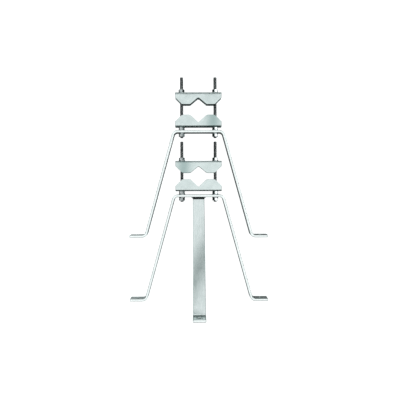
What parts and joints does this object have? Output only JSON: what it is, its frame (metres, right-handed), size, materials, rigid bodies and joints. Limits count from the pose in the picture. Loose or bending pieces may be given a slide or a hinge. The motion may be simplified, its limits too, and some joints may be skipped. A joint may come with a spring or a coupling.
{
  "type": "mast wall bracket set",
  "caption": "Bent flat-bar wall brackets with V-notched jaws on threaded studs that clamp a mast; the lower bracket is braced by an extra leg.",
  "frame": {"origin": "centre of the footprint of the pair, on the plane that the edges of the bracket bars lie on", "axes": "+Y away from the wall, from the feet to the stud tips; +X to the right seen from above with +Y ahead; +Z along the mast, towards the foot of the third leg"},
  "size_m": [0.34, 0.549, 0.217],
  "materials": {
    "galvanised_bar": "zinc-plated rolled flat bar, satin",
    "pressed_jaw": "zinc-plated pressed sheet, satin",
    "threaded_rod": "zinc-plated rolled thread, dark in its grooves",
    "fastener": "bright zinc plating",
    "weld": "zinc-plated weld bead, rough"
  },
  "bodies": {
    "brackets": {"upper_bracket_bar": "galvanised_bar", "upper_clamp_stud_left": "threaded_rod", "upper_back_washer_left": "fastener", "upper_back_nut_left": "fastener", "upper_lock_washer_left": "fastener", "upper_lock_nut_left": "fastener", "upper_clamp_stud_right": "threaded_rod", "upper_back_washer_right": "fastener", "upper_back_nut_right": "fastener", "upper_lock_washer_right": "fastener", "upper_lock_nut_right": "fastener", "lower_bracket_bar": "galvanised_bar", "lower_clamp_stud_left": "threaded_rod", "lower_back_washer_left": "fastener", "lower_back_nut_left": "fastener", "lower_lock_washer_left": "fastener", "lower_lock_nut_left": "fastener", "lower_clamp_stud_right": "threaded_rod", "lower_back_washer_right": "fastener", "lower_back_nut_right": "fastener", "lower_lock_washer_right": "fastener", "lower_lock_nut_right": "fastener", "lower_third_leg": "galvanised_bar", "lower_weld_left": "weld", "lower_weld_right": "weld"},
    "upper_inner_jaw": {"upper_inner_jaw": "pressed_jaw"},
    "upper_outer_jaw": {"upper_outer_jaw": "pressed_jaw", "upper_clamp_washer_left": "fastener", "upper_clamp_washer_right": "fastener"},
    "upper_clamp_nut_left": {"upper_clamp_nut_left": "fastener"},
    "upper_clamp_nut_right": {"upper_clamp_nut_right": "fastener"},
    "lower_inner_jaw": {"lower_inner_jaw": "pressed_jaw"},
    "lower_outer_jaw": {"lower_outer_jaw": "pressed_jaw", "lower_clamp_washer_left": "fastener", "lower_clamp_washer_right": "fastener"},
    "lower_clamp_nut_left": {"lower_clamp_nut_left": "fastener"},
    "lower_clamp_nut_right": {"lower_clamp_nut_right": "fastener"}
  },
  "joints": [
    {"name": "upper_inner_jaw_slide", "type": "slide", "parent": "brackets", "child": "upper_inner_jaw", "axis": [0, 1, 0], "range_m": [0, 0.005]},
    {"name": "upper_outer_jaw_slide", "type": "slide", "parent": "brackets", "child": "upper_outer_jaw", "axis": [0, 1, 0], "range_m": [-0.02, 0.0275]},
    {"name": "upper_clamp_nut_left_turn", "type": "hinge", "parent": "upper_outer_jaw", "child": "upper_clamp_nut_left", "pos_m": [-0.041, 0.2382, 0.015], "axis": [0, 1, 0], "range_deg": [-5800, 7960]},
    {"name": "upper_clamp_nut_right_turn", "type": "hinge", "parent": "upper_outer_jaw", "child": "upper_clamp_nut_right", "pos_m": [0.041, 0.2382, 0.015], "axis": [0, 1, 0], "range_deg": [-5800, 7960]},
    {"name": "lower_inner_jaw_slide", "type": "slide", "parent": "brackets", "child": "lower_inner_jaw", "axis": [0, 1, 0], "range_m": [0, 0.005]},
    {"name": "lower_outer_jaw_slide", "type": "slide", "parent": "brackets", "child": "lower_outer_jaw", "axis": [0, 1, 0], "range_m": [-0.0105, 0.037]},
    {"name": "lower_clamp_nut_left_turn", "type": "hinge", "parent": "lower_outer_jaw", "child": "lower_clamp_nut_left", "pos_m": [-0.041, 0.0715, 0.015], "axis": [0, 1, 0], "range_deg": [-3060, 10700]},
    {"name": "lower_clamp_nut_right_turn", "type": "hinge", "parent": "lower_outer_jaw", "child": "lower_clamp_nut_right", "pos_m": [0.041, 0.0715, 0.015], "axis": [0, 1, 0], "range_deg": [-3060, 10700]}
  ],
  "couplings": [
    {"joint": "upper_clamp_nut_left_turn", "follows": "upper_outer_jaw_slide", "rad_per_m": 5026.5},
    {"joint": "upper_clamp_nut_right_turn", "follows": "upper_outer_jaw_slide", "rad_per_m": 5026.5},
    {"joint": "lower_clamp_nut_left_turn", "follows": "lower_outer_jaw_slide", "rad_per_m": 5026.5},
    {"joint": "lower_clamp_nut_right_turn", "follows": "lower_outer_jaw_slide", "rad_per_m": 5026.5}
  ]
}
